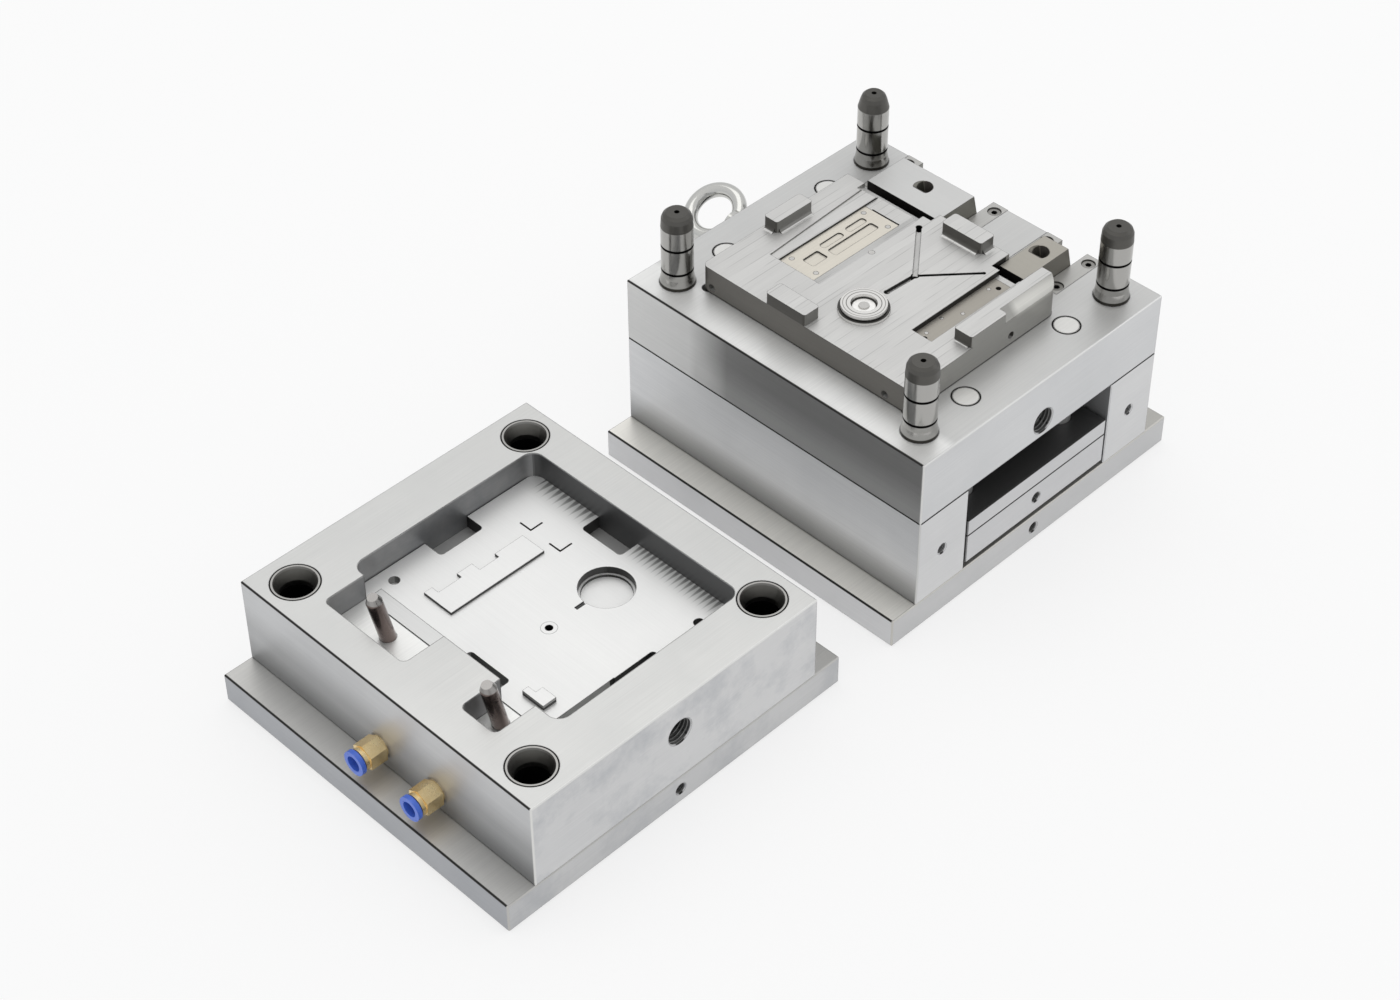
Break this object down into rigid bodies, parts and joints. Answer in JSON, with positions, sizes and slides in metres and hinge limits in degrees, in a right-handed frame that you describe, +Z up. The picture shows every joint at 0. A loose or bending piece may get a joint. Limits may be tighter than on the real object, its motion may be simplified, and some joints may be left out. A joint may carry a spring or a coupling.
{
  "type": "prototype injection mould",
  "caption": "Opened steel injection mould: core half with guide pins, slides and ejector plates beside its cavity half with angle pins and hose fittings.",
  "frame": {"origin": "centre of the ejector rod hole at the clamping face of the core half", "axes": "+Z up, from the clamping faces towards the parting faces; +X from the cavity half towards the core half and its slides; +Y towards the side with the lifting eye bolt"},
  "size_m": [0.6925, 0.367, 0.226],
  "materials": {
    "clamp_steel": "ground",
    "plate_steel": "ground",
    "insert_steel": "milled",
    "cream_insert": "fine milled",
    "tan_insert": "fine milled",
    "guide_pin_steel": "polished",
    "slide_steel": "ground",
    "black_oxide": "black oxide",
    "zinc_steel": "zinc plated",
    "pin_steel": "polished",
    "bush_steel": "ground",
    "brown_oxide": "bronze brown",
    "brass": "turned",
    "blue_plastic": "gloss"
  },
  "bodies": {
    "core_half": {"core_clamp_plate": "clamp_steel", "spacer_block_left": "plate_steel", "spacer_block_right": "plate_steel", "core_plate": "plate_steel", "core_insert": "insert_steel", "panel_insert": "cream_insert", "bar_insert": "tan_insert", "round_core": "insert_steel", "guide_pins": "guide_pin_steel", "guide_pin_conical": "guide_pin_steel", "gib_slide_1_front": "slide_steel", "gib_slide_1_rear": "slide_steel", "gib_slide_2_front": "slide_steel", "gib_slide_2_rear": "slide_steel", "gib_screws": "black_oxide", "slide_stops": "black_oxide", "slide_stop_screws": "black_oxide", "core_plate_screws": "black_oxide", "core_insert_screws": "black_oxide", "stop_buttons": "black_oxide", "lifting_eye_bolt": "zinc_steel"},
    "ejector_set": {"ejector_plate": "plate_steel", "ejector_retainer_plate": "plate_steel", "ejector_plate_screws": "black_oxide", "return_pins": "pin_steel", "panel_ejector_pins": "pin_steel", "bar_ejector_pins": "pin_steel", "round_ejector_pin": "pin_steel", "web_ejector_pin": "pin_steel", "sprue_puller": "pin_steel"},
    "slide_1": {"slide_1": "slide_steel"},
    "slide_2": {"slide_2": "slide_steel"},
    "cavity_half": {"cavity_clamp_plate": "clamp_steel", "cavity_plate": "plate_steel", "cavity_insert": "insert_steel", "cavity_side_bar": "insert_steel", "sprue_bush": "pin_steel", "guide_bushes": "bush_steel", "angle_pin_1": "brown_oxide", "angle_pin_2": "brown_oxide", "cavity_plate_screws": "black_oxide", "cavity_insert_screws": "black_oxide", "fitting_body_1": "brass", "fitting_body_2": "brass"},
    "release_ring_1": {"release_ring_1": "blue_plastic"},
    "release_ring_2": {"release_ring_2": "blue_plastic"}
  },
  "joints": [
    {"name": "ejector_stroke", "type": "slide", "parent": "core_half", "child": "ejector_set", "axis": [0, 0, 1], "range_m": [0, 0.0325]},
    {"name": "slide_1_travel", "type": "slide", "parent": "core_half", "child": "slide_1", "axis": [-1, 0, 0], "range_m": [0, 0.0086]},
    {"name": "slide_2_travel", "type": "slide", "parent": "core_half", "child": "slide_2", "axis": [-1, 0, 0], "range_m": [0, 0.0086]},
    {"name": "cavity_lift", "type": "slide", "parent": "core_half", "child": "cavity_half", "axis": [0, 0, 1], "range_m": [0, 0.25]},
    {"name": "ring_1_push", "type": "slide", "parent": "cavity_half", "child": "release_ring_1", "axis": [1, 0, 0], "range_m": [0, 0.001], "stiffness_N_per_m": 800},
    {"name": "ring_2_push", "type": "slide", "parent": "cavity_half", "child": "release_ring_2", "axis": [1, 0, 0], "range_m": [0, 0.001], "stiffness_N_per_m": 800}
  ],
  "couplings": [
    {"joint": "slide_2_travel", "follows": "slide_1_travel", "ratio": 1}
  ]
}
